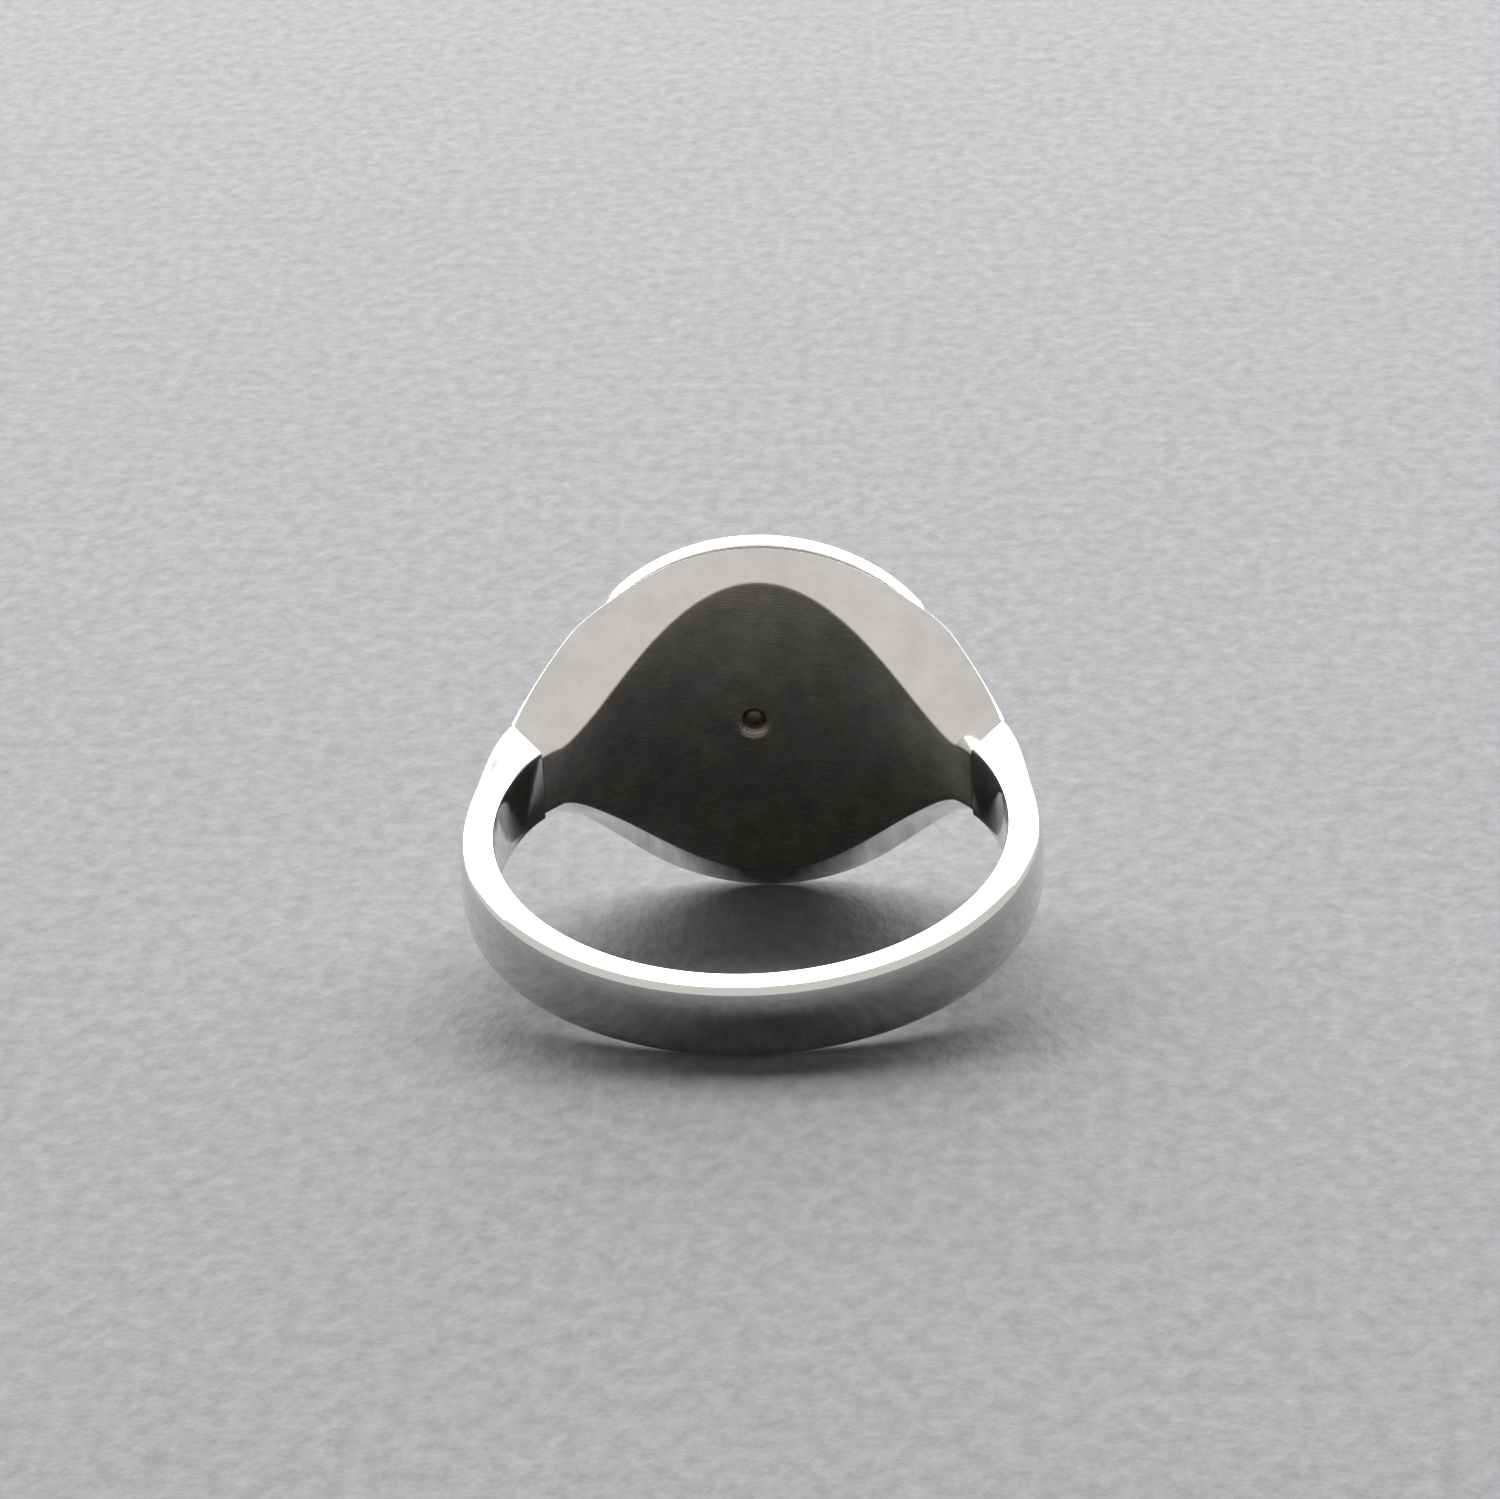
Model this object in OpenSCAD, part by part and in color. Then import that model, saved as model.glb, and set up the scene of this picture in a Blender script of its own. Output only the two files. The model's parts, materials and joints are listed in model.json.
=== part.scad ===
// Signet ring: a round table plate on a flared head, joined to a D-section shank.
// The ring lies at rest on its side: +Z up, the head at +Y, the lowest edges at Z = 0.
// Local ring axes before it is laid down: X across, Y from the finger to the table, Z along the finger.

/* [Finger hole] */
// Inside diameter of the ring
finger_d = 17.3; // [15:0.1:20]

/* [Shank] */
// Width of the shank along the finger
shank_w = 2.68; // [2:0.02:3.4]
// Wall of the shank at its side faces
shank_t = 0.98; // [0.8:0.02:1.3]
// Height of the shank's outer crown above its edges
shank_crown = 0.2; // [0.05:0.05:0.3]

/* [Head] */
// Diameter of the round table
table_d = 13.9; // [12:0.1:15]
// Wall between the finger hole and the seat of the table plate
seat_wall = 0.8; // [0.7:0.05:1.2]
// Height of the head along the finger at the finger side
back_h = 11.8; // [9:0.1:12]
// How far the head's middle sits below the shank's middle
head_drop = 0.45; // [0:0.05:0.5]

/* [Shoulders] */
// Extra wall where the shoulders meet the table
shoulder_rise = 1.6; // [1.2:0.1:1.8]
// Angle from the table's middle at which the shoulders start to grow from the shank
shoulder_start = 76; // [72:1:80]
// Bow of the shoulders' sides outwards
shoulder_bow = 0.3; // [0:0.05:0.4]

/* [Table plate] */
// Thickness of the table plate
plate_t = 0.8; // [0.5:0.05:1.2]
// Radius on the table plate's front edge
plate_edge_r = 0.22; // [0.1:0.02:0.3]

/* [Joints] */
// Thickness of each solder joint
solder_t = 0.06; // [0.04:0.01:0.1]

/* [Centre pin] */
// Diameter of the pin
pin_d = 0.84; // [0.6:0.02:1]
// Diameter of the recess around the pin's upset end
recess_d = 1.24; // [1.1:0.02:1.4]
// How far the pin sits to the left of the middle
pin_shift = 0.3; // [0:0.05:0.4]

/* [Hidden] */

finger_r = finger_d / 2;
shank_half = shank_w / 2;
shank_r = finger_r + shank_t;
table_r = table_d / 2;
seat_y = finger_r + seat_wall;
plate_y = seat_y + solder_t;
front_y = plate_y + plate_t;

// The head's rim stands a hair below the seat, so that the solder line shows as a fine groove
rim_y = seat_y - 0.12;
// Angles at which the shoulder joints cross the bore wall and the outside
joint_in_deg = 57.8;
joint_out_deg = 55;
// Angle over which the shoulders rise, and how quickly
ramp_deg = 40;
ramp_power = 1.45;
// Distance from the middle at which the shoulders reach the shank's width
shoulder_x = finger_r + 0.1;
// Crown of the shoulders where they meet the table
shoulder_crown = 0.5;
// Angle at which the finger side of the head is narrowest, a little under the shank's width
waist_deg = 51;
waist_power = 1.52;
waist_half = shank_half - 0.2;
// The head's drop fades out between these angles
drop_full_deg = 36;
drop_none_deg = 66;

// Lofts run past the joints by a few degrees and are cut back to them
step_deg = 3;
shank_from_deg = 45;
head_to_deg = 63;
// Lofts reach this far inside the bore, which is then cut as a true cylinder
inside = 0.3;
crown_points = 8;

// Recess depth, how far the pin's end stays below the bore wall, and its depth in the plate
recess_depth = 0.3;
pin_below = 0.1;
pin_in_plate = 0.35;
pin_z = 0.22 - head_drop;

// The ring rests on the shank's lower edge and on the lowest point of the head's rim
rest_tilt = atan2(table_r + head_drop - shank_half, rim_y + shank_r);
lift = shank_half * cos(rest_tilt) + shank_r * sin(rest_tilt);

round_fn = 96;
fine_fn = 48;
cut_len = 40;
// Turns the bore's seam away from the lofts' sections
bore_turn = 17;

SILVER = "#d8d8d6";
SILVER_SATIN = "#b9b8b6";
SOLDER = "#9c9b99";
WARM_METAL = "#a58b80";

// --- Shape functions of the angle from the middle of the table ---

function soft_min(a, b, k) = (a + b - sqrt((a - b) * (a - b) + k * k)) / 2;
function soft_max(a, b, k) = (a + b + sqrt((a - b) * (a - b) + k * k)) / 2;
function clamp01(x) = min(max(x, 0), 1);
function smooth(x) = clamp01(x) * clamp01(x) * (3 - 2 * clamp01(x));

// Angle folded so that both shoulders use the same shape, from 0 at the table to 180
function fold(a) = a > 180 ? 360 - a : abs(a);

// Radius of the outer edge: the shank's, growing into the shoulders and ending flat under the table
function shoulder_r(a) =
    shank_r + shoulder_rise * pow(max(shoulder_start - a, 0) / ramp_deg, ramp_power);
function edge_r(a) =
    a < 60 ? soft_min(shoulder_r(a), rim_y / cos(a), 0.5) : shoulder_r(a);

// Crown above the outer edge
function crown_h(a) =
    shank_crown + (shoulder_crown - shank_crown) * smooth((shoulder_start - a) / ramp_deg);

// Half width of the outer edge: the table's circle, then nearly straight sides down to the shank
tangent_deg = atan2(shank_half, shoulder_x)
    + acos(table_r / sqrt(shoulder_x * shoulder_x + shank_half * shank_half));
tangent_x = table_r * cos(tangent_deg);
tangent_half = table_r * sin(tangent_deg);
function side_t(x) = min((x - tangent_x) / (shoulder_x - tangent_x), 1);
function side_half(x) =
    tangent_half + (shank_half - tangent_half) * side_t(x)
    + shoulder_bow * 4 * side_t(x) * (1 - side_t(x));
function circle_half(x) = sqrt(max(table_r * table_r - x * x, 0));
function plan_half(x) = soft_max(circle_half(x), side_half(x), 0.2 * clamp01(x / 4));
function head_half(a) = soft_max(plan_half(edge_r(a) * sin(a)), shank_half, 0.12);

// The shank starts as wide as the head is at the joint, and narrows from there to its own width
function shank_share(a) = smooth((shoulder_start - a) / (shoulder_start - joint_out_deg));
function outer_half(a, on_head) =
    on_head ? head_half(a) : shank_half + (head_half(joint_out_deg) - shank_half) * shank_share(a);

// Half width at the bore wall: on the head a rounded diamond that narrows to its waist
function inner_half(a, on_head) =
    !on_head ? shank_half
    : a > waist_deg ? waist_half
    : waist_half + (back_h / 2 - waist_half) * pow(cos(90 * a / waist_deg), waist_power);

// How far a section's middle sits below the shank's middle
function drop(a) = head_drop * smooth((drop_none_deg - a) / (drop_none_deg - drop_full_deg));

// Half width of the flared side where the loft ends inside the bore
function inside_half(a, on_head) =
    let (inner = inner_half(a, on_head), outer = outer_half(a, on_head))
    inner - inside * (outer - inner) / (edge_r(a) - finger_r);

// One section as [radius, height] pairs: bore side first, then the crowned outside from bottom to top
function section(a, on_head) = concat(
    [[finger_r - inside, -inside_half(a, on_head)]],
    [for (i = [0 : crown_points])
        let (x = 2 * i / crown_points - 1)
        [edge_r(a) + crown_h(a) * (1 - pow(abs(x), 4)), outer_half(a, on_head) * x]],
    [[finger_r - inside, inside_half(a, on_head)]]);

function placed(a, on_head) = [for (p = section(fold(a), on_head))
    [p[0] * sin(a), p[0] * cos(a), p[1] - drop(fold(a))]];

// --- Building blocks ---

module loft(from_deg, to_deg, on_head) {
    angles = [for (a = [from_deg : step_deg : to_deg]) a];
    rings = len(angles);
    n = len(section(0, on_head));
    points = [for (a = angles) each placed(a, on_head)];
    walls = [for (i = [0 : rings - 2], j = [0 : n - 1])
        let (k = (j + 1) % n, p = i * n, q = p + n)
        each [[p + j, q + j, q + k], [p + j, q + k, p + k]]];
    caps = [[for (j = [0 : n - 1]) j], [for (j = [n - 1 : -1 : 0]) (rings - 1) * n + j]];
    polyhedron(points, concat(walls, caps));
}

module bore() {
    rotate(bore_turn) cylinder(r = finger_r, h = cut_len, center = true, $fn = round_fn);
}

// A block with its lower face on the shoulder joint, seen from the shank; side is 1 right, -1 left
module joint_block(side, from_y, to_y) {
    inner_pt = finger_r * [sin(joint_in_deg), cos(joint_in_deg)];
    outer_pt = edge_r(joint_out_deg) * [sin(joint_out_deg), cos(joint_out_deg)];
    turn = atan2(outer_pt[1] - inner_pt[1], outer_pt[0] - inner_pt[0]);
    mirror([side < 0 ? 1 : 0, 0, 0])
        translate([inner_pt[0], inner_pt[1], 0])
        rotate(turn)
        translate([-1.5, from_y, -4])
        cube([5, to_y - from_y, 8]);
}

module along_y(y) {
    translate([0, y, 0]) rotate([-90, 0, 0]) children();
}

// How far the laid ring reaches to the back, at the shank, and to the front, at the table's lower edge
back_reach = max([for (p = section(180, false)) p[0] * cos(rest_tilt) + p[1] * sin(rest_tilt)]);
front_reach = (front_y - plate_edge_r) * cos(rest_tilt)
    + (table_r + head_drop - plate_edge_r) * sin(rest_tilt) + plate_edge_r;

// Lays the finished ring down on its shank edge and head rim, with its middle over the origin
module at_rest() {
    translate([0, (back_reach - front_reach) / 2, lift]) rotate([rest_tilt, 0, 0]) children();
}

// --- Pieces ---

module shank() {
    color(SILVER) at_rest() difference() {
        loft(shank_from_deg, 360 - shank_from_deg, false);
        bore();
        for (side = [-1, 1]) joint_block(side, 0, 6);
    }
}

module head() {
    color(SILVER_SATIN) at_rest() difference() {
        loft(-head_to_deg, head_to_deg, true);
        bore();
        translate([-cut_len / 2, seat_y, -cut_len / 2]) cube(cut_len);
        for (side = [-1, 1]) joint_block(side, -6, solder_t);
        translate([-pin_shift, 0, pin_z]) {
            along_y(finger_r - 1) cylinder(d = recess_d, h = 1 + recess_depth, $fn = fine_fn);
            along_y(finger_r) cylinder(d = pin_d, h = 3, $fn = fine_fn);
        }
    }
}

module table_plate() {
    color(SILVER) at_rest() translate([0, 0, -head_drop]) difference() {
        along_y(plate_y) rotate_extrude($fn = round_fn) plate_profile();
        translate([-pin_shift, 0, pin_z + head_drop])
            along_y(seat_y) cylinder(d = pin_d, h = solder_t + pin_in_plate, $fn = fine_fn);
    }
}

module plate_profile() {
    square([table_r, plate_t - plate_edge_r]);
    square([table_r - plate_edge_r, plate_t]);
    translate([table_r - plate_edge_r, plate_t - plate_edge_r]) circle(plate_edge_r, $fn = fine_fn);
}

// The pin's upset end is a shallow dome in the recess, the rest a plain cylinder into the plate
module centre_pin() {
    dome_h = recess_depth - pin_below;
    dome_r = (pin_d * pin_d / 4 + dome_h * dome_h) / (2 * dome_h);
    shank_end = plate_y + pin_in_plate;
    color(WARM_METAL) at_rest() translate([-pin_shift, 0, pin_z]) {
        along_y(finger_r + recess_depth)
            cylinder(d = pin_d, h = shank_end - finger_r - recess_depth, $fn = fine_fn);
        intersection() {
            translate([0, finger_r + pin_below + dome_r, 0]) sphere(dome_r, $fn = fine_fn);
            along_y(finger_r) cylinder(d = pin_d, h = recess_depth, $fn = fine_fn);
        }
    }
}

module shoulder_solder(side) {
    color(SOLDER) at_rest() difference() {
        intersection() {
            mirror([side < 0 ? 1 : 0, 0, 0]) loft(shank_from_deg, head_to_deg, true);
            joint_block(side, 0, solder_t);
        }
        bore();
    }
}

module solder_left_shoulder() {
    shoulder_solder(-1);
}

module solder_right_shoulder() {
    shoulder_solder(1);
}

module solder_table_plate() {
    color(SOLDER) at_rest() difference() {
        translate([0, 0, -head_drop])
            along_y(seat_y) cylinder(r = table_r - 0.06, h = solder_t, $fn = round_fn);
        translate([-pin_shift, 0, pin_z])
            along_y(seat_y - 1) cylinder(d = pin_d, h = 2, $fn = fine_fn);
    }
}

shank();
head();
table_plate();
centre_pin();
solder_left_shoulder();
solder_right_shoulder();
solder_table_plate();
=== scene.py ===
"""Builds the looks of a plain round-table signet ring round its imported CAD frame."""

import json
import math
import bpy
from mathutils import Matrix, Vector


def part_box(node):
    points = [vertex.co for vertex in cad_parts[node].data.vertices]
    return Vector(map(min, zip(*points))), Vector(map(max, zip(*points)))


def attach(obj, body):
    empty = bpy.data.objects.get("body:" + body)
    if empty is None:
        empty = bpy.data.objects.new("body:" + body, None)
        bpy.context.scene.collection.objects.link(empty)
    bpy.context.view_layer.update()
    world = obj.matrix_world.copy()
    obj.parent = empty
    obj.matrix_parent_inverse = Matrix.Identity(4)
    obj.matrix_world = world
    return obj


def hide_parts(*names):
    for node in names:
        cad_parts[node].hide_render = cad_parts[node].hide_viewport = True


bl_info = {
    "name": "Signet Ring",
    "version": (1, 0, 0),
    "blender": (4, 5, 0),
    "location": "View3D > Sidebar > Signet Ring",
    "description": "Builds a plain round-table signet ring, its finishes and a studio stage",
    "category": "Add Mesh",
}

import bmesh
import bpy
from bpy.props import FloatProperty, FloatVectorProperty, PointerProperty
from mathutils import Matrix, Vector

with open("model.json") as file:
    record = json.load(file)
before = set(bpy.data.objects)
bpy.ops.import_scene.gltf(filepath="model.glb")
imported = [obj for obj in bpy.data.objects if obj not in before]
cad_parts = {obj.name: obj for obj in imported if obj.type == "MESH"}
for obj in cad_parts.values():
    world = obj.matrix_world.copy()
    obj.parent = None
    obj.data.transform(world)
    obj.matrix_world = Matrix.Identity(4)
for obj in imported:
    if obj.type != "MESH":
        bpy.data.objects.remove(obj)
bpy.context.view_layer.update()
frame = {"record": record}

MM = 0.001


def mount(name):
    """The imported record's mount of that name."""
    return next(m for m in frame["record"]["mounts"] if m["name"] == name)


def ring_axes():
    """Matrix from the ring's own axes to the row frame.

    X runs across the shoulders, Y from the finger to the table and Z along the finger.
    """
    hole = mount("finger_hole")
    along = Vector(hole["axis"]).normalized()
    across = Vector((1, 0, 0))
    out = along.cross(across)
    turn = Matrix((across, out, along)).transposed().to_4x4()
    return Matrix.Translation(Vector(hole["pos_m"])) @ turn


RING = ring_axes()
FINGER_R = mount("finger_hole")["dims"]["r_mm"] * MM
TABLE_MIDDLE = RING.inverted() @ Vector(mount("table_face")["pos_m"])
TABLE_R = (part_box("table_plate")[1][0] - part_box("table_plate")[0][0]) / 2
CROWN_R = (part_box("shank")[1][0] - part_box("shank")[0][0]) / 2
SHANK_WALL = 0.98 * MM
# The finer mesh stays this far inside the coarser CAD crown
CROWN_CLEAR = 0.003 * MM


def linear(code):
    """A colour written as sRGB hex, as linear RGBA."""
    parts = [int(code[i : i + 2], 16) / 255 for i in (1, 3, 5)]
    return (*(p / 12.92 if p <= 0.04045 else ((p + 0.055) / 1.055) ** 2.4 for p in parts), 1.0)


# --- Settings -------------------------------------------------------------------------------


def length(name, text, default):
    """A length in metres that the user can change."""
    return FloatProperty(name=name, description=text, default=default, unit="LENGTH", precision=5)


def colour(name, text, code):
    """A colour that the user can change."""
    return FloatVectorProperty(
        name=name, description=text, default=linear(code), subtype="COLOR", size=4, min=0, max=1
    )


class RingSizes(bpy.types.PropertyGroup):
    """Sizes of the ring's pieces."""

    finger_radius: length("Finger hole radius", "Inside radius of the ring", FINGER_R)
    shank_width: length("Shank width", "Width of the shank along the finger", 2.68 * MM)
    shank_wall: length("Shank wall", "Wall of the shank at its side faces", SHANK_WALL)
    shank_crown: length(
        "Shank crown",
        "Height of the shank's outer crown above its edges",
        CROWN_R - FINGER_R - SHANK_WALL - CROWN_CLEAR,
    )
    table_radius: length("Table radius", "Radius of the round table", TABLE_R)
    table_front: length(
        "Table height", "Distance of the table's front from the hole's axis", TABLE_MIDDLE.y
    )
    head_drop: length("Head drop", "How far the head's middle sits below the shank's", -TABLE_MIDDLE.z)
    plate_thickness: length("Plate thickness", "Thickness of the table plate", 0.8 * MM)
    plate_edge: length("Plate edge", "Radius on the plate's front edge", 0.22 * MM)
    solder_gap: length("Solder thickness", "Thickness of each solder joint", 0.06 * MM)
    rim_step: length("Rim step", "How far the head's rim stands back from its seat", 0.12 * MM)
    back_height: length("Back height", "Height of the head at its finger side", 11.8 * MM)
    shoulder_rise: length("Shoulder rise", "Extra wall where the shoulders meet the table", 1.6 * MM)
    shoulder_crown: length("Shoulder crown", "Crown of the shoulders under the table", 0.5 * MM)
    shoulder_bow: length("Shoulder bow", "Bow of the shoulders' sides outwards", 0.3 * MM)
    inner_edge: length("Inner edge", "How far the bore's edges are eased", 0.08 * MM)
    outer_edge: length("Outer edge", "How far the outer edges are eased", 0.16 * MM)
    pin_radius: length("Pin radius", "Radius of the centre pin", 0.42 * MM)
    recess_radius: length("Recess radius", "Radius of the recess round the pin", 0.62 * MM)
    recess_depth: length("Recess depth", "Depth of the recess in the finger side", 0.3 * MM)
    pin_shift: length("Pin shift", "How far the pin sits to the left of the middle", 0.3 * MM)
    pin_height: length("Pin height", "Height of the pin above the head's middle", 0.22 * MM)


class RingFinish(bpy.types.PropertyGroup):
    """Colours and finishes of the ring's metals."""

    silver: colour("Silver", "Polished sterling silver", "#dddbd8")
    # Painted shade: this colour sits far below the polished silver's to stand in for the shadowed floor
    # and shank that the finger side mirrors
    satin_with_painted_shade: colour("Satin silver", "Sterling silver with a brushed finger side", "#b0aaa3")
    solder: colour("Solder", "Hard solder in the joints", "#b9b6b1")
    pin: colour("Pin", "Reddish alloy of the centre pin", "#5d4d45")
    gloss: FloatProperty(
        name="Polish roughness",
        description="Roughness of the polished silver",
        default=0.055,
        min=0,
        max=1,
    )


class StageSettings(bpy.types.PropertyGroup):
    """Floor, lights and camera."""

    floor: colour("Floor", "Pale grey paper", "#747679")
    lens: FloatProperty(
        name="Lens", description="Focal length in millimetres", default=216, unit="CAMERA"
    )
    azimuth: FloatProperty(
        name="Azimuth",
        description="Camera's turn round the ring",
        default=math.radians(3.295),
        subtype="ANGLE",
    )
    elevation: FloatProperty(
        name="Elevation",
        description="Camera's height as an angle",
        default=math.radians(15.71),
        subtype="ANGLE",
    )
    roll: FloatProperty(
        name="Roll", description="Camera's roll", default=math.radians(-1.4), subtype="ANGLE"
    )
    distance: length("Distance", "Distance from the camera to the point it aims at", 303.3 * MM)
    key_power: FloatProperty(name="Key power", description="Power of the back light in watts", default=60)


# --- Shape of the ring by angle from the middle of the table --------------------------------

# Angles at which the shoulder joints cross the bore and the outside, and the middle of the two
JOINT_IN, JOINT_OUT = 57.8, 55.0
JOINT = (JOINT_IN + JOINT_OUT) / 2
# The shoulders grow from the shank at the first angle and over the second
SHOULDER_START, SHOULDER_RAMP, SHOULDER_POWER = 76.0, 40.0, 1.45
# The shank has narrowed to its own width at this angle; gentler than the shoulders' growth, so that
# its side faces stay nearly flat and mirror evenly
NARROWED = 90.0
# The head's finger side narrows to its waist at this angle, a little under the shank's width
WAIST, WAIST_POWER = 51.0, 1.52
WAIST_NARROWER = 0.2 * MM
# The head's drop fades out between these angles
DROP_FULL, DROP_NONE = 36.0, 66.0
# The shoulders' sides end this far outside the bore
SHOULDER_REACH = 0.1 * MM
# The table's rim bounds the sections up to this angle
RIM_END = 60
# How softly the shoulders meet the rim, the table's circle its sides, and the head the shank's width
RIM_BLEND, PLAN_BLEND, WIDTH_BLEND = 0.5 * MM, 0.2, 0.12 * MM
# The joints' lean fades out over this angle
LEAN_FADE = 20
# The outer edges are eased from the first angle, fully after the second, and always by the third
EASED_FROM, EASED_OVER, EASED_LEAST = 46, 12, 0.03 * MM


def smooth(x):
    """Goes from 0 to 1 with level ends."""
    x = min(max(x, 0.0), 1.0)
    return x * x * (3 - 2 * x)


def soft_min(a, b, k):
    return (a + b - math.sqrt((a - b) ** 2 + k * k)) / 2


def soft_max(a, b, k):
    return (a + b + math.sqrt((a - b) ** 2 + k * k)) / 2


class Shape:
    """The ring's section at any angle, in metres, from the user's sizes."""

    def __init__(self, sizes):
        self.s = sizes
        self.half = sizes.shank_width / 2
        self.shank_r = sizes.finger_radius + sizes.shank_wall
        self.seat = sizes.table_front - sizes.plate_thickness - sizes.solder_gap
        self.rim = self.seat - sizes.rim_step
        self.reach = sizes.finger_radius + SHOULDER_REACH
        span = math.hypot(self.reach, self.half)
        tangent = math.atan2(self.half, self.reach) + math.acos(sizes.table_radius / span)
        self.tangent_x = sizes.table_radius * math.cos(tangent)
        self.tangent_half = sizes.table_radius * math.sin(tangent)

    def edge_r(self, a):
        """Radius of the outer edge."""
        grown = max(SHOULDER_START - a, 0) / SHOULDER_RAMP
        r = self.shank_r + self.s.shoulder_rise * grown**SHOULDER_POWER
        return soft_min(r, self.rim / math.cos(math.radians(a)), RIM_BLEND) if a < RIM_END else r

    def crown(self, a):
        """Height of the outer crown above the edge."""
        grown = smooth((SHOULDER_START - a) / SHOULDER_RAMP)
        return self.s.shank_crown + (self.s.shoulder_crown - self.s.shank_crown) * grown

    def head_half(self, a):
        """Half width of the head at its outer edge: the table's circle, then nearly straight sides."""
        x = self.edge_r(a) * math.sin(math.radians(a))
        circle = math.sqrt(max(self.s.table_radius**2 - x * x, 0))
        t = min((x - self.tangent_x) / (self.reach - self.tangent_x), 1)
        side = self.tangent_half + (self.half - self.tangent_half) * t
        side += self.s.shoulder_bow * 4 * t * (1 - t)
        wide = soft_max(circle, side, PLAN_BLEND * min(x / 4, MM))
        return soft_max(wide, self.half, WIDTH_BLEND)

    def outer_half(self, a, on_head):
        """Half width at the outer edge; the shank narrows from the joint to its own width."""
        if on_head:
            return self.head_half(a)
        share = smooth((NARROWED - a) / (NARROWED - JOINT_OUT))
        return self.half + (self.head_half(JOINT_OUT) - self.half) * share

    def inner_half(self, a, on_head):
        """Half width at the bore: on the head a rounded diamond that narrows to its waist."""
        if not on_head:
            return self.half
        waist = self.half - WAIST_NARROWER
        share = math.cos(math.radians(90 * min(a / WAIST, 1))) ** WAIST_POWER
        return waist + (self.s.back_height / 2 - waist) * share

    def drop(self, a):
        """How far the section's middle sits below the shank's."""
        return self.s.head_drop * smooth((DROP_NONE - a) / (DROP_NONE - DROP_FULL))

    def section(self, a, on_head, inset):
        """Closed outline at angle a as (share of the wall, radius, height) from bore to bore."""
        lean = (JOINT_OUT - JOINT_IN) * smooth(1 - abs(a - JOINT) / LEAN_FADE)
        a_in, a_out = a - lean / 2, a + lean / 2
        bore = self.s.finger_radius + inset
        edge = self.edge_r(a_out) - inset
        wide = self.outer_half(a_out, on_head) - inset
        narrow = self.inner_half(a_in, on_head) - inset
        crown = self.crown(a_out)
        flare = Vector((edge - bore, wide - narrow))
        eased_in = min(self.s.inner_edge, flare.length / 4)
        grown = smooth((a - EASED_FROM) / EASED_OVER)
        eased_out = min(self.s.outer_edge * grown + EASED_LEAST, flare.length / 3)
        side = flare.normalized()

        def crowned(x):
            r = edge + crown * (1 - abs(x) ** 4)
            return min(r, (self.seat - inset) / math.cos(math.radians(a))) if a < RIM_END else r

        def eased(p, corner, q, steps):
            return [
                p * (1 - t) ** 2 + corner * 2 * t * (1 - t) + q * t * t
                for t in (i / steps for i in range(steps + 1))
            ]

        turn_x = 1 - eased_out / wide
        inner_corner, outer_corner = Vector((bore, narrow)), Vector((edge, wide))
        upper = eased(
            Vector((bore, narrow - eased_in)), inner_corner, inner_corner + side * eased_in, 5
        )
        upper += [inner_corner + side * flare.length * t for t in (0.25, 0.5, 0.75)]
        upper += eased(
            outer_corner - side * eased_out, outer_corner, Vector((crowned(turn_x), wide * turn_x)), 7
        )
        crest = [Vector((crowned(turn_x * x / 12), wide * turn_x * x / 12)) for x in range(11, 0, -1)]
        bore_line = [Vector((bore, (narrow - eased_in) * x / 6)) for x in range(1, 6)]
        above = bore_line + upper + crest
        whole = [Vector((bore, 0))] + above + [Vector((crowned(0), 0))]
        whole += [Vector((p.x, -p.y)) for p in reversed(above)]
        return [((p.x - bore) / (edge - bore), p.x, p.y) for p in whole], lean

    def ring_points(self, angle, on_head, inset):
        """The section placed round the ring, in the row frame; a minus angle is the left side."""
        a = min(abs(angle), 360 - abs(angle))
        outline, lean = self.section(a, on_head, inset)
        side = 1 if 0 <= angle <= 180 else -1
        points = []
        for share, r, h in outline:
            at = a + lean * (min(share, 1) - 0.5)
            turn = math.radians(at) * side
            points.append(RING @ Vector((r * math.sin(turn), r * math.cos(turn), h - self.drop(at))))
        return points


# --- Mesh helpers ---------------------------------------------------------------------------

SHARP_DEG = 30
# Angles between the sections of the two lofts
SHANK_STEP, HEAD_STEP = 0.75, 0.5
# The recess's cutter starts this far inside the finger hole
CUTTER_START = 1.0 * MM
# How far the pin's end stays below the bore wall, and how deep the pin sits in the plate
PIN_BELOW, PIN_IN_PLATE = 0.1 * MM, 0.3 * MM
# The solder stays this far inside the shoulders' sections and the table's edge
SHOULDER_INSET, TABLE_INSET = 0.02 * MM, 0.06 * MM


def finished(name, mesh, material, slot_name, *nodes):
    """A finished piece that rides on the ring and stands for its CAD nodes."""
    mesh.materials.clear()
    mesh.materials.append(material)
    piece = bpy.data.objects.new(name, mesh)
    bpy.context.scene.collection.objects.link(piece)
    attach(piece, "root")
    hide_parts(*nodes)
    return piece


def loft(shape, angles, on_head, inset=0.0):
    """A closed mesh through the ring's sections at those angles."""
    bm = bmesh.new()
    rings = [[bm.verts.new(p) for p in shape.ring_points(a, on_head, inset)] for a in angles]
    for one, two in zip(rings, rings[1:]):
        for j in range(len(one)):
            k = (j + 1) % len(one)
            bm.faces.new((one[j], one[k], two[k], two[j]))
    for ring in (rings[0], rings[-1]):
        cap(bm, ring)
    bmesh.ops.recalc_face_normals(bm, faces=bm.faces)
    return bm


def cap(bm, ring):
    """Closes a section with rungs between its mirrored points."""
    count = len(ring)
    for i in range(1, count // 2 - 1):
        bm.faces.new((ring[i], ring[i + 1], ring[count - i - 1], ring[count - i]))
    bm.faces.new((ring[0], ring[1], ring[count - 1]))
    half = count // 2
    bm.faces.new((ring[half - 1], ring[half], ring[half + 1]))


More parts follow.
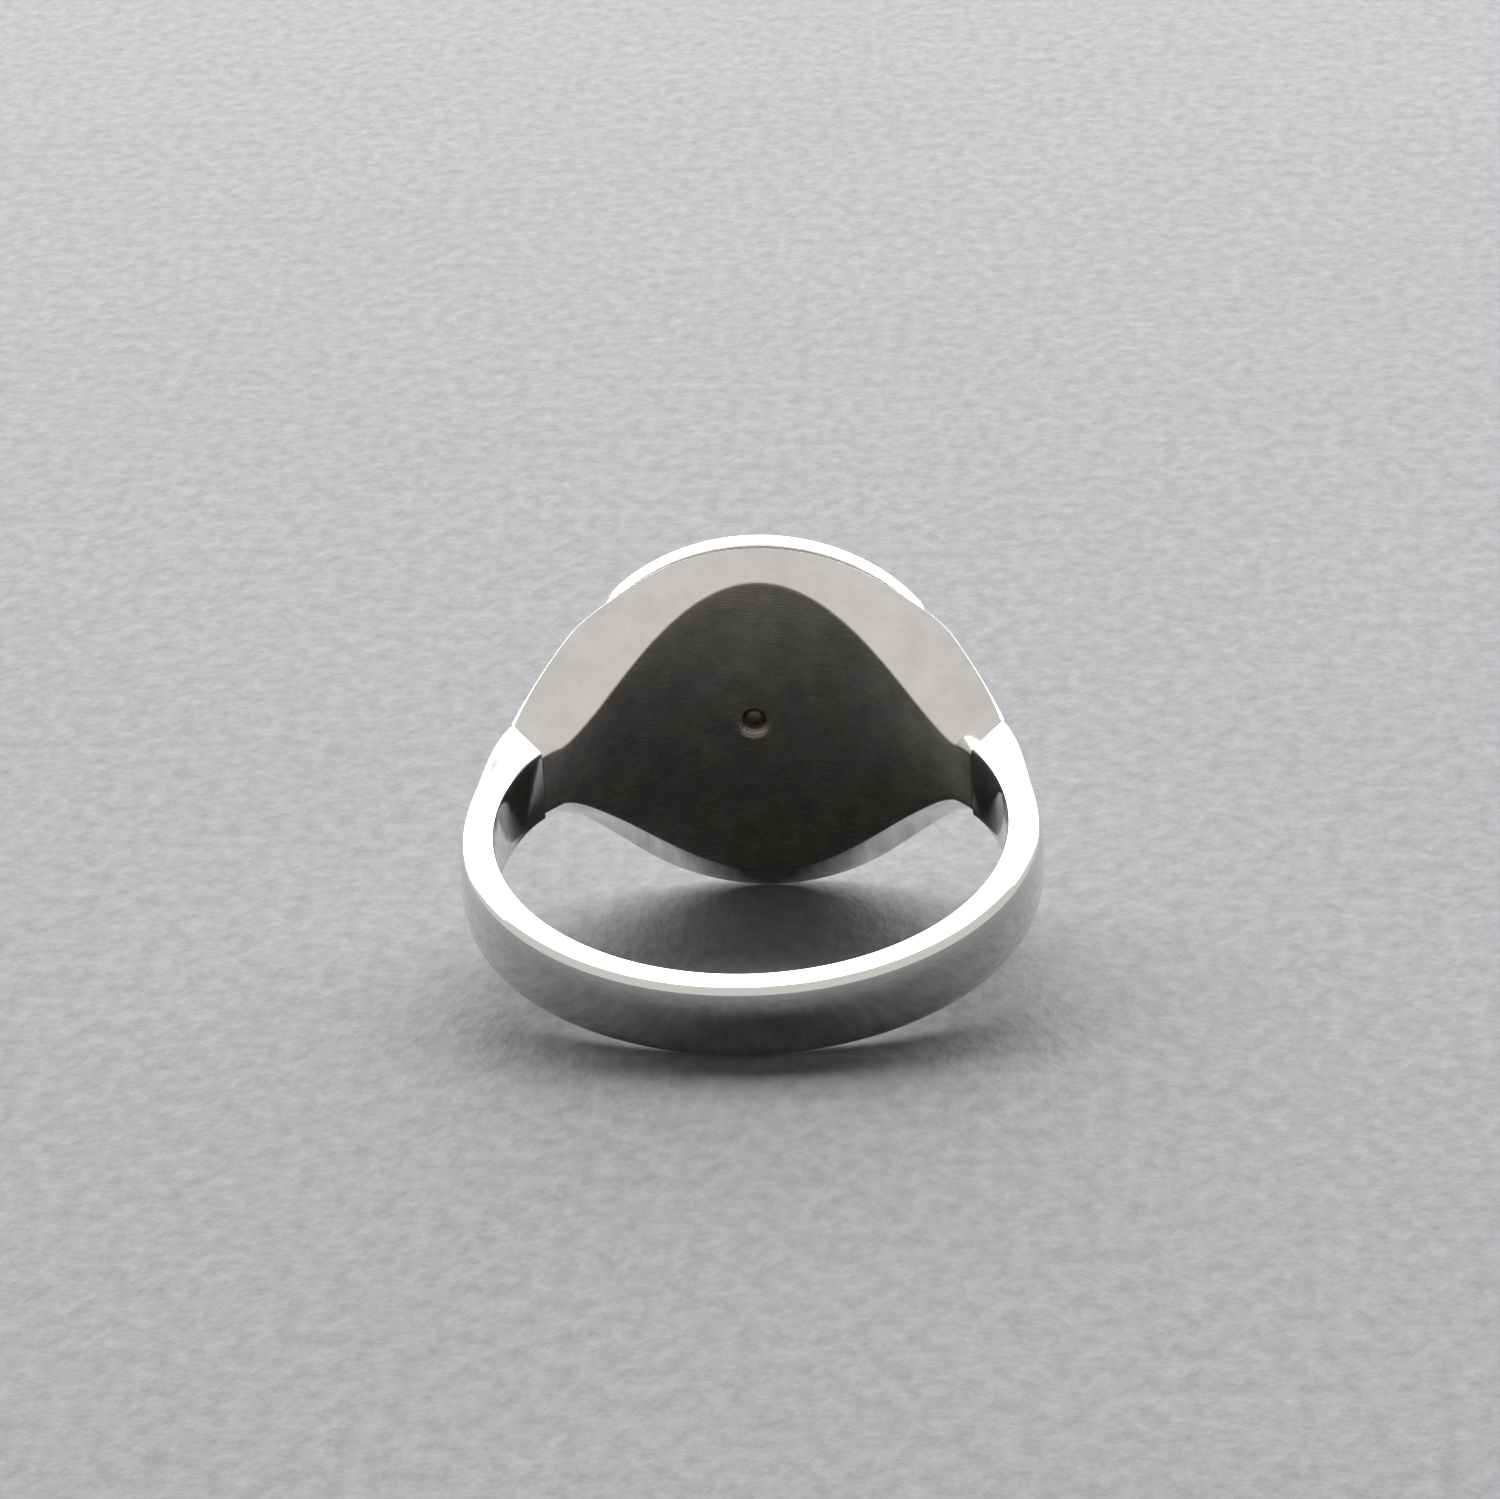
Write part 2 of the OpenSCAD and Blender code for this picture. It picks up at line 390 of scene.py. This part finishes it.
def as_mesh(bm, name):
    """A smooth-shaded mesh whose edges are sharp above one angle."""
    mesh = bpy.data.meshes.new(name)
    bm.to_mesh(mesh)
    bm.free()
    mesh.shade_smooth()
    mesh.set_sharp_from_angle(angle=math.radians(SHARP_DEG))
    return mesh


def spread(start, end, step):
    """Angles from start to end in near steps."""
    count = max(int(round((end - start) / step)), 1)
    return [start + (end - start) * i / count for i in range(count + 1)]


# --- Node helpers ---------------------------------------------------------------------------


def add(tree, kind, values=None, **settings):
    """Adds a node with its settings, and sets or links its inputs."""
    node = tree.nodes.new(kind)
    for key, value in settings.items():
        setattr(node, key, value)
    for key, value in (values or {}).items():
        if isinstance(value, bpy.types.NodeSocket):
            tree.links.new(value, node.inputs[key])
        else:
            node.inputs[key].default_value = value
    return node


def new_material(name):
    """An empty node material with its output, and its tree."""
    material = bpy.data.materials.new(name)
    material.use_nodes = True
    material.node_tree.nodes.clear()
    return material, material.node_tree


def metal(name, build, **constants):
    """A metal: build returns its linked colour, roughness and normal."""
    material, tree = new_material(name)
    shader = add(tree, "ShaderNodeBsdfPrincipled", {"Metallic": 1.0, **constants})
    for key, socket in build(tree).items():
        tree.links.new(socket, shader.inputs[key])
    output = add(tree, "ShaderNodeOutputMaterial")
    tree.links.new(shader.outputs["BSDF"], output.inputs["Surface"])
    return material


def ring_coordinates(tree):
    """Object coordinates in millimetres along the ring's own axes, for patterns that follow it."""
    place = add(tree, "ShaderNodeTexCoord")
    back = RING.inverted()
    mapped = add(
        tree,
        "ShaderNodeMapping",
        {
            "Vector": place.outputs["Object"],
            "Location": back.to_translation() / MM,
            "Rotation": back.to_euler(),
            "Scale": (1 / MM, 1 / MM, 1 / MM),
        },
    )
    return mapped.outputs["Vector"]


def polish_marks(tree, place, depth=1.0):
    """Normal of hand-polished silver: soft waves under a web of fine hairlines."""
    # Waves of about 1 mm, as a hand-held buff leaves
    waves = add(
        tree, "ShaderNodeTexNoise", {"Vector": place, "Scale": 0.9, "Detail": 3.0, "Roughness": 0.55}
    )
    # Hairlines 0.04 mm wide, coarser than real polishing scratches so that they show
    hair_place = add(tree, "ShaderNodeMapping", {"Vector": place, "Scale": (3.0, 11.0, 3.0)})
    hairs = add(
        tree,
        "ShaderNodeTexNoise",
        {"Vector": hair_place.outputs["Vector"], "Scale": 2.2, "Detail": 6.0, "Roughness": 0.7},
    )
    wave_bump = add(
        tree,
        "ShaderNodeBump",
        {"Strength": 1.0, "Distance": 0.006 * MM * depth, "Height": waves.outputs["Fac"]},
    )
    hair_bump = add(
        tree,
        "ShaderNodeBump",
        {
            "Strength": 1.0,
            "Distance": 0.0004 * MM * depth,
            "Height": hairs.outputs["Fac"],
            "Normal": wave_bump.outputs["Normal"],
        },
    )
    return hair_bump.outputs["Normal"]


def polished_silver(finish):
    """Sterling silver, hand-polished: a mirror with slow waves, hairlines and a trace of smear."""

    def build(tree):
        place = ring_coordinates(tree)
        normal = polish_marks(tree, place)
        smear = add(tree, "ShaderNodeTexNoise", {"Vector": place, "Scale": 0.45, "Detail": 4.0})
        rough = add(
            tree,
            "ShaderNodeMapRange",
            {
                "Value": smear.outputs["Fac"],
                "From Min": 0.35,
                "From Max": 0.7,
                "To Min": finish.gloss,
                "To Max": finish.gloss * 1.9,
            },
        )
        return {"Roughness": rough.outputs["Result"], "Normal": normal}

    return metal("Polished sterling silver", build, **{"Base Color": finish.silver})


def satin_silver(finish, sizes):
    """Sterling silver with polished sides and a satin finger side, brushed round the finger; the finger
    side's colour is darkened as painted shade.
    """
    bore = sizes.finger_radius / MM
    pin_middle = (-sizes.pin_shift / MM, 0.0, (sizes.pin_height - sizes.head_drop) / MM)

    def build(tree):
        place = ring_coordinates(tree)
        polished_normal = polish_marks(tree, place, 0.6)
        axes = add(tree, "ShaderNodeSeparateXYZ", {"Vector": place})
        flat = add(tree, "ShaderNodeCombineXYZ", {"X": axes.outputs["X"], "Y": axes.outputs["Y"]})
        far = add(tree, "ShaderNodeVectorMath", {0: flat.outputs["Vector"]}, operation="LENGTH")
        wall = add(
            tree,
            "ShaderNodeMapRange",
            {
                "Value": far.outputs["Value"],
                "From Min": bore + 0.02,
                "From Max": bore + 0.06,
                "To Min": 1.0,
                "To Max": 0.0,
            },
        )
        upright = add(tree, "ShaderNodeCombineXYZ", {"X": axes.outputs["X"], "Z": axes.outputs["Z"]})
        from_pin = add(
            tree,
            "ShaderNodeVectorMath",
            {0: upright.outputs["Vector"], 1: pin_middle},
            operation="DISTANCE",
        )
        recess = add(
            tree,
            "ShaderNodeMath",
            {0: from_pin.outputs["Value"], 1: sizes.recess_radius / MM + 0.1},
            operation="LESS_THAN",
        )
        inside = add(
            tree,
            "ShaderNodeMath",
            {0: wall.outputs["Result"], 1: recess.outputs["Value"]},
            operation="MAXIMUM",
        )
        # Brush lines 0.05 mm wide round the finger, coarser than real ones so that they show
        brushed_place = add(tree, "ShaderNodeMapping", {"Vector": place, "Scale": (0.5, 0.5, 14.0)})
        brushed = add(
            tree,
            "ShaderNodeTexNoise",
            {"Vector": brushed_place.outputs["Vector"], "Scale": 1.6, "Detail": 8.0, "Roughness": 0.75},
        )
        brush_bump = add(
            tree,
            "ShaderNodeBump",
            {"Strength": 1.0, "Distance": 0.0025 * MM, "Height": brushed.outputs["Fac"]},
        )
        clouds = add(
            tree, "ShaderNodeTexNoise", {"Vector": place, "Scale": 0.8, "Detail": 6.0, "Roughness": 0.65}
        )
        shade = add(
            tree,
            "ShaderNodeMapRange",
            {
                "Value": clouds.outputs["Fac"],
                "From Min": 0.3,
                "From Max": 0.7,
                "To Min": 0.75,
                "To Max": 1.2,
            },
        )
        # Painted shade: the finger side's darkened colour, mottled at random
        satin_with_painted_shade = add(
            tree,
            "ShaderNodeVectorMath",
            {0: finish.satin_with_painted_shade[:3], "Scale": shade.outputs["Result"]},
            operation="SCALE",
        )
        rubbed = add(
            tree,
            "ShaderNodeMapRange",
            {
                "Value": clouds.outputs["Fac"],
                "From Min": 0.35,
                "From Max": 0.65,
                "To Min": 0.93,
                "To Max": 1.05,
            },
        )
        bright = add(
            tree,
            "ShaderNodeVectorMath",
            {0: finish.silver[:3], "Scale": rubbed.outputs["Result"]},
            operation="SCALE",
        )
        rough_inside = add(
            tree,
            "ShaderNodeMapRange",
            {
                "Value": brushed.outputs["Fac"],
                "From Min": 0.3,
                "From Max": 0.7,
                "To Min": 0.2,
                "To Max": 0.32,
            },
        )
        rough = add(
            tree,
            "ShaderNodeMix",
            {
                "Factor": inside.outputs["Value"],
                "A": finish.gloss * 1.4,
                "B": rough_inside.outputs["Result"],
            },
        )
        # The finger side and the pin's recess take the darkened colour, which is painted shade; the
        # polished sides keep the silver's own colour
        base = add(
            tree,
            "ShaderNodeMix",
            {"Factor": inside.outputs["Value"], 6: bright.outputs[0], 7: satin_with_painted_shade.outputs[0]},
            data_type="RGBA",
        )
        normal = add(
            tree,
            "ShaderNodeMix",
            {"Factor": inside.outputs["Value"], 4: polished_normal, 5: brush_bump.outputs["Normal"]},
            data_type="VECTOR",
        )
        return {
            "Base Color": base.outputs[2],
            "Roughness": rough.outputs[0],
            "Normal": normal.outputs[1],
        }

    return metal("Satin and polished sterling silver", build)


def hard_solder(finish):
    """Cleaned hard solder: the silver's colour a shade down, finely pitted."""

    def build(tree):
        place = ring_coordinates(tree)
        # Pits of about 0.1 mm
        pits = add(tree, "ShaderNodeTexNoise", {"Vector": place, "Scale": 9.0, "Detail": 4.0})
        bump = add(tree, "ShaderNodeBump", {"Distance": 0.004 * MM, "Height": pits.outputs["Fac"]})
        rough = add(
            tree, "ShaderNodeMapRange", {"Value": pits.outputs["Fac"], "To Min": 0.22, "To Max": 0.45}
        )
        return {"Roughness": rough.outputs["Result"], "Normal": bump.outputs["Normal"]}

    return metal("Cleaned hard solder", build, **{"Base Color": finish.solder})


def upset_pin(finish):
    """Reddish alloy, hammered over: small facets on a dull dome."""

    def build(tree):
        place = ring_coordinates(tree)
        # Hammer facets of about 0.25 mm
        dents = add(tree, "ShaderNodeTexVoronoi", {"Vector": place, "Scale": 4.0}, feature="SMOOTH_F1")
        bump = add(tree, "ShaderNodeBump", {"Distance": 0.03 * MM, "Height": dents.outputs["Distance"]})
        rough = add(
            tree,
            "ShaderNodeMapRange",
            {"Value": dents.outputs["Distance"], "To Min": 0.25, "To Max": 0.4},
        )
        return {"Roughness": rough.outputs["Result"], "Normal": bump.outputs["Normal"]}

    return metal("Upset alloy pin", build, **{"Base Color": finish.pin})


# --- Turned pieces --------------------------------------------------------------------------


# Radius of a disc's back edge as a share of its front edge's
BACK_EDGE_SHARE = 0.15


def turned_tree():
    """Geometry nodes that turn a disc with an eased front edge about its axis."""
    tree = bpy.data.node_groups.new("Turned disc", "GeometryNodeTree")
    faces = (
        ("Radius", "NodeSocketFloat"),
        ("Thickness", "NodeSocketFloat"),
        ("Front edge", "NodeSocketFloat"),
        ("Segments", "NodeSocketInt"),
        ("Material", "NodeSocketMaterial"),
    )
    for name, kind in faces:
        tree.interface.new_socket(name, in_out="INPUT", socket_type=kind)
    tree.interface.new_socket("Geometry", in_out="OUTPUT", socket_type="NodeSocketGeometry")
    given = add(tree, "NodeGroupInput").outputs

    def times(a, b):
        return add(tree, "ShaderNodeMath", {0: a, 1: b}, operation="MULTIPLY").outputs[0]

    inward = times(given["Radius"], -1.0)
    front_y = times(given["Thickness"], -1.0)
    corners = [
        add(tree, "ShaderNodeCombineXYZ", {"X": inward}).outputs[0],
        add(tree, "ShaderNodeCombineXYZ").outputs[0],
        add(tree, "ShaderNodeCombineXYZ", {"Y": front_y}).outputs[0],
        add(tree, "ShaderNodeCombineXYZ", {"X": inward, "Y": front_y}).outputs[0],
    ]
    outline = add(tree, "GeometryNodeCurvePrimitiveQuadrilateral", mode="POINTS")
    for i, corner in enumerate(corners):
        tree.links.new(corner, outline.inputs["Point %d" % (i + 1)])
    opened = add(tree, "GeometryNodeSetSplineCyclic", {"Geometry": outline.outputs[0], "Cyclic": False})
    index = add(tree, "GeometryNodeInputIndex").outputs[0]
    front = add(tree, "FunctionNodeCompare", {2: index, 3: 2}, data_type="INT", operation="EQUAL")
    back = add(tree, "FunctionNodeCompare", {2: index, 3: 1}, data_type="INT", operation="EQUAL")
    front_r = times(front.outputs[0], given["Front edge"])
    back_r = times(back.outputs[0], times(given["Front edge"], BACK_EDGE_SHARE))
    radius = add(tree, "ShaderNodeMath", {0: front_r, 1: back_r}, operation="ADD")
    eased = add(
        tree,
        "GeometryNodeFilletCurve",
        {"Curve": opened.outputs[0], "Count": 10, "Radius": radius.outputs[0]},
        mode="POLY",
    )
    path = add(
        tree,
        "GeometryNodeCurvePrimitiveCircle",
        {"Resolution": given["Segments"], "Radius": given["Radius"]},
        mode="RADIUS",
    )
    turned = add(
        tree, "GeometryNodeCurveToMesh", {"Curve": path.outputs[0], "Profile Curve": eased.outputs[0]}
    )
    merged = add(
        tree, "GeometryNodeMergeByDistance", {"Geometry": turned.outputs[0], "Distance": 0.0005 * MM}
    )
    real = add(tree, "GeometryNodeRealizeInstances", {"Geometry": merged.outputs[0]})
    painted = add(
        tree, "GeometryNodeSetMaterial", {"Geometry": real.outputs[0], "Material": given["Material"]}
    )
    add(tree, "NodeGroupOutput", {"Geometry": painted.outputs[0]})
    return tree


def turned_disc(name, radius, thickness, edge, material, segments=256):
    """A plain mesh of a turned disc, its back on the plane Z = 0."""
    tree = turned_tree()
    seed_mesh = bpy.data.meshes.new(name)
    holder = bpy.data.objects.new(name, seed_mesh)
    bpy.context.scene.collection.objects.link(holder)
    modifier = holder.modifiers.new("Turned disc", "NODES")
    modifier.node_group = tree
    given = {
        "Radius": radius,
        "Thickness": thickness,
        "Front edge": edge,
        "Segments": segments,
        "Material": material,
    }
    for item in tree.interface.items_tree:
        if item.in_out == "INPUT":
            modifier[item.identifier] = given[item.name]
    holder.update_tag()
    bpy.context.view_layer.update()
    mesh = bpy.data.meshes.new_from_object(holder.evaluated_get(bpy.context.evaluated_depsgraph_get()))
    bpy.data.objects.remove(holder)
    bpy.data.meshes.remove(seed_mesh)
    bpy.data.node_groups.remove(tree)
    return mesh


def stand_on(mesh, base, name):
    """Turns a disc's axis from +Z to the table's direction and puts its back at base, in ring axes."""
    bm = bmesh.new()
    bm.from_mesh(mesh)
    bpy.data.meshes.remove(mesh)
    turn = Matrix.Rotation(math.radians(-90), 4, "X")
    bmesh.ops.transform(bm, matrix=RING @ Matrix.Translation(base) @ turn, verts=bm.verts)
    bmesh.ops.recalc_face_normals(bm, faces=bm.faces)
    return as_mesh(bm, name)


# --- Stage ----------------------------------------------------------------------------------

# Point the camera looks at
CAMERA_AIM = Vector((-0.036, -0.16, 7.736)) * MM
# The back light's azimuth and elevation in degrees, its distance and its sides in metres
BACK_LIGHT = (-7, 38, 1.2, (2.9, 1.3))
FLOOR_HALF = 1.5


# --- Operators: one for each piece or group of like pieces ----------------------------------


class RING_OT_shank(bpy.types.Operator):
    """Builds the shank: a domed hoop that thickens into the shoulder joints"""

    bl_idname = "ring.shank"
    bl_label = "Shank"

    def execute(self, context):
        shape = Shape(context.scene.ring_sizes)
        bm = loft(shape, spread(JOINT, 360 - JOINT, SHANK_STEP), False)
        mesh = as_mesh(bm, "Shank")
        finished("Shank", mesh, polished_silver(context.scene.ring_finish), "polished_silver", "shank")
        return {"FINISHED"}


class RING_OT_head(bpy.types.Operator):
    """Builds the head: flared back and shoulders, hollowed to the finger hole, with the pin's recess"""

    bl_idname = "ring.head"
    bl_label = "Head"

    def execute(self, context):
        sizes = context.scene.ring_sizes
        shape = Shape(sizes)
        solder_deg = math.degrees(sizes.solder_gap / sizes.finger_radius)
        bm = loft(shape, spread(-JOINT + solder_deg, JOINT - solder_deg, HEAD_STEP), True)
        mesh = as_mesh(bm, "Head")
        material = satin_silver(context.scene.ring_finish, sizes)
        head = finished("Head", mesh, material, "satin_silver", "head")
        self.drill_recess(sizes, head, material)
        return {"FINISHED"}

    def drill_recess(self, sizes, head, material):
        """Sinks the round recess into the finger side."""
        depth = sizes.recess_depth + CUTTER_START
        cutter_mesh = turned_disc("Recess cutter", sizes.recess_radius, depth, 0.04 * MM, None, 96)
        base = Vector(
            (-sizes.pin_shift, sizes.finger_radius - CUTTER_START, sizes.pin_height - sizes.head_drop)
        )
        cutter_mesh = stand_on(cutter_mesh, base, "Recess cutter")
        cutter = bpy.data.objects.new("Recess cutter", cutter_mesh)
        bpy.context.scene.collection.objects.link(cutter)
        cut = head.modifiers.new("Recess", "BOOLEAN")
        cut.operation = "DIFFERENCE"
        cut.solver = "EXACT"
        cut.object = cutter
        bpy.context.view_layer.update()
        graph = bpy.context.evaluated_depsgraph_get()
        drilled = bpy.data.meshes.new_from_object(head.evaluated_get(graph))
        head.modifiers.clear()
        bm = bmesh.new()
        bm.from_mesh(drilled)
        bmesh.ops.remove_doubles(bm, verts=bm.verts, dist=0.0005 * MM)
        open_edges = [e for e in bm.edges if len(e.link_faces) < 2]
        bmesh.ops.holes_fill(bm, edges=open_edges, sides=8)
        undrilled = head.data
        head.data = as_mesh(bm, "Head")
        head.data.materials.append(material)
        bpy.data.meshes.remove(undrilled)
        bpy.data.meshes.remove(drilled)
        bpy.data.objects.remove(cutter)
        bpy.data.meshes.remove(cutter_mesh)


class RING_OT_table_plate(bpy.types.Operator):
    """Builds the round table plate with its eased edge"""

    bl_idname = "ring.table_plate"
    bl_label = "Table plate"

    def execute(self, context):
        sizes = context.scene.ring_sizes
        material = polished_silver(context.scene.ring_finish)
        mesh = turned_disc(
            "Table plate", sizes.table_radius, sizes.plate_thickness, sizes.plate_edge, material
        )
        base = Vector((0, sizes.table_front - sizes.plate_thickness, -sizes.head_drop))
        mesh = stand_on(mesh, base, "Table plate")
        finished("Table_plate", mesh, material, "polished_silver", "table_plate")
        return {"FINISHED"}


class RING_OT_centre_pin(bpy.types.Operator):
    """Builds the centre pin with its upset, domed end in the recess"""

    bl_idname = "ring.centre_pin"
    bl_label = "Centre pin"

    def execute(self, context):
        sizes = context.scene.ring_sizes
        material = upset_pin(context.scene.ring_finish)
        top = sizes.table_front - sizes.plate_thickness + PIN_IN_PLATE
        bottom = sizes.finger_radius + PIN_BELOW
        mesh = turned_disc("Centre pin", sizes.pin_radius, top - bottom, 0.0, material, 64)
        bm = bmesh.new()
        bm.from_mesh(mesh)
        bpy.data.meshes.remove(mesh)
        self.dome(bm, sizes)
        raw = bpy.data.meshes.new("Centre pin")
        bm.to_mesh(raw)
        bm.free()
        base = Vector((-sizes.pin_shift, bottom, sizes.pin_height - sizes.head_drop))
        mesh = stand_on(raw, base, "Centre pin")
        finished("Centre_pin", mesh, material, "warm_alloy", "centre_pin")
        return {"FINISHED"}

    def dome(self, bm, sizes):
        """Cuts the flat back into rings and sets them on a shallow dome."""
        floor = [v for v in bm.verts if v.co.z < 0.01 * MM]
        faces = [f for f in bm.faces if all(v in floor for v in f.verts)]
        rims = [v for v in floor if v.co.xy.length > sizes.pin_radius * 0.9]
        bmesh.ops.delete(bm, geom=faces, context="FACES_ONLY")
        stray = [v for v in bm.verts if not v.link_faces]
        bmesh.ops.delete(bm, geom=stray, context="VERTS")
        rims = sorted((v for v in rims if v.is_valid), key=lambda v: math.atan2(v.co.y, v.co.x))
        height = sizes.recess_depth - PIN_BELOW
        steps = 8
        ring = rims
        for v in rims:
            v.co.z = height
        for i in range(1, steps):
            share = 1 - i / steps
            inner = [
                bm.verts.new((v.co.x * share, v.co.y * share, height * share * share)) for v in rims
            ]
            for j in range(len(rims)):
                k = (j + 1) % len(rims)
                bm.faces.new((ring[j], ring[k], inner[k], inner[j]))
            ring = inner
        middle = bm.verts.new((0, 0, 0))
        for j in range(len(rims)):
            bm.faces.new((ring[j], ring[(j + 1) % len(rims)], middle))


class RING_OT_solder_joints(bpy.types.Operator):
    """Builds the solder in both shoulder joints and under the table plate"""

    bl_idname = "ring.solder_joints"
    bl_label = "Solder joints"

    def execute(self, context):
        sizes = context.scene.ring_sizes
        shape = Shape(sizes)
        material = hard_solder(context.scene.ring_finish)
        thin = math.degrees(sizes.solder_gap / sizes.finger_radius)
        for side, name in ((-1, "left"), (1, "right")):
            angles = sorted((side * (JOINT - thin), side * JOINT))
            bm = loft(shape, angles, True, SHOULDER_INSET)
            mesh = as_mesh(bm, "Solder " + name)
            finished(
                "Solder_%s_shoulder" % name, mesh, material, "silver_solder", "solder_%s_shoulder" % name
            )
        radius = sizes.table_radius - TABLE_INSET
        mesh = turned_disc("Solder table", radius, sizes.solder_gap, 0.0, material)
        mesh = stand_on(mesh, Vector((0, shape.seat, -sizes.head_drop)), "Solder table")
        finished("Solder_table_plate", mesh, material, "silver_solder", "solder_table_plate")
        return {"FINISHED"}


class RING_OT_stage(bpy.types.Operator):
    """Sets the paper floor, the studio lights and the camera"""

    bl_idname = "ring.stage"
    bl_label = "Stage"

    def execute(self, context):
        stage = context.scene.ring_stage
        self.floor(stage)
        self.lights(stage)
        self.camera(stage)
        return {"FINISHED"}

    def floor(self, stage):
        """Pale grey paper with a fine felted grain."""
        material, tree = new_material("Pale grey paper")
        place = add(tree, "ShaderNodeTexCoord").outputs["Object"]
        fibres = add(tree, "ShaderNodeMapping", {"Vector": place, "Scale": (1.0, 0.45, 1.0)}).outputs[0]
        # Clumps of fibre 0.7 mm wide and 1.5 mm long; single fibres are too fine to show
        grain = add(
            tree,
            "ShaderNodeTexNoise",
            {"Vector": fibres, "Scale": 1500.0, "Detail": 4.0, "Roughness": 0.6},
        )
        cloud = add(tree, "ShaderNodeTexNoise", {"Vector": place, "Scale": 60.0, "Detail": 3.0})
        tone = add(
            tree,
            "ShaderNodeMapRange",
            {
                "Value": grain.outputs["Fac"],
                "From Min": 0.3,
                "From Max": 0.7,
                "To Min": 0.72,
                "To Max": 1.28,
            },
        )
        drift = add(
            tree,
            "ShaderNodeMapRange",
            {
                "Value": cloud.outputs["Fac"],
                "From Min": 0.3,
                "From Max": 0.7,
                "To Min": 0.97,
                "To Max": 1.03,
            },
        )
        both = add(
            tree,
            "ShaderNodeMath",
            {0: tone.outputs["Result"], 1: drift.outputs["Result"]},
            operation="MULTIPLY",
        )
        paper = add(
            tree,
            "ShaderNodeVectorMath",
            {0: stage.floor[:3], "Scale": both.outputs[0]},
            operation="SCALE",
        )
        bump = add(tree, "ShaderNodeBump", {"Distance": 0.09 * MM, "Height": grain.outputs["Fac"]})
        shader = add(
            tree,
            "ShaderNodeBsdfPrincipled",
            {
                "Base Color": paper.outputs[0],
                "Roughness": 0.72,
                "Specular IOR Level": 0.6,
                "Normal": bump.outputs["Normal"],
            },
        )
        add(tree, "ShaderNodeOutputMaterial", {"Surface": shader.outputs["BSDF"]})
        bm = bmesh.new()
        bmesh.ops.create_grid(bm, x_segments=1, y_segments=1, size=FLOOR_HALF)
        mesh = bpy.data.meshes.new("Floor")
        bm.to_mesh(mesh)
        bm.free()
        mesh.materials.append(material)
        floor = bpy.data.objects.new("Floor", mesh)
        bpy.context.scene.collection.objects.link(floor)

    def lights(self, stage):
        """A large soft box behind and above, in an evenly pale studio."""
        world = bpy.data.worlds.new("Studio")
        bpy.context.scene.world = world
        world.use_nodes = True
        background = world.node_tree.nodes["Background"]
        background.inputs["Color"].default_value = linear("#e4e2df")
        background.inputs["Strength"].default_value = 1.0
        world.cycles_visibility.diffuse = False
        self.soft_box("Back light", *BACK_LIGHT, stage.key_power)

    def soft_box(self, name, azimuth, elevation, distance, size, power):
        """A rectangular light aimed at the ring from that direction; azimuth 0 is behind the ring."""
        light = bpy.data.lights.new(name, "AREA")
        light.shape = "RECTANGLE"
        light.size, light.size_y = size
        light.energy = power
        holder = bpy.data.objects.new(name, light)
        bpy.context.scene.collection.objects.link(holder)
        a, e = math.radians(azimuth), math.radians(elevation)
        away = Vector((math.sin(a) * math.cos(e), math.cos(a) * math.cos(e), math.sin(e)))
        holder.location = away * distance
        holder.rotation_euler = away.to_track_quat("Z", "Y").to_euler()

    def camera(self, stage):
        """A long lens, low behind the shank, aimed near the ring's middle."""
        data = bpy.data.cameras.new("Camera")
        data.lens = stage.lens
        data.clip_start, data.clip_end = 0.01, 10
        camera = bpy.data.objects.new("Camera", data)
        bpy.context.scene.collection.objects.link(camera)
        a, e = stage.azimuth, stage.elevation
        back = Vector((math.sin(a) * math.cos(e), -math.cos(a) * math.cos(e), math.sin(e)))
        look = (-back).to_track_quat("-Z", "Y").to_matrix().to_4x4()
        place = Matrix.Translation(CAMERA_AIM + back * stage.distance)
        camera.matrix_world = place @ look @ Matrix.Rotation(stage.roll, 4, "Z")
        bpy.context.scene.camera = camera
        bpy.context.scene.view_settings.view_transform = "Standard"


class RING_PT_panel(bpy.types.Panel):
    """Lists the ring's pieces and the stage"""

    bl_idname = "RING_PT_panel"
    bl_label = "Signet Ring"
    bl_space_type = "VIEW_3D"
    bl_region_type = "UI"
    bl_category = "Signet Ring"

    def draw(self, context):
        for operator in OPERATORS:
            self.layout.operator(operator.bl_idname)


GROUPS = ((RingSizes, "ring_sizes"), (RingFinish, "ring_finish"), (StageSettings, "ring_stage"))
OPERATORS = (
    RING_OT_stage,
    RING_OT_shank,
    RING_OT_head,
    RING_OT_table_plate,
    RING_OT_centre_pin,
    RING_OT_solder_joints,
)


def register():
    for group, name in GROUPS:
        bpy.utils.register_class(group)
        setattr(bpy.types.Scene, name, PointerProperty(type=group))
    for cls in (*OPERATORS, RING_PT_panel):
        bpy.utils.register_class(cls)


def unregister():
    for cls in reversed((*OPERATORS, RING_PT_panel)):
        bpy.utils.unregister_class(cls)
    for group, name in reversed(GROUPS):
        delattr(bpy.types.Scene, name)
        bpy.utils.unregister_class(group)


def main():
    register()
    bpy.ops.ring.stage()
    bpy.ops.ring.shank()
    bpy.ops.ring.head()
    bpy.ops.ring.table_plate()
    bpy.ops.ring.centre_pin()
    bpy.ops.ring.solder_joints()


if __name__ == "__main__":
    main()
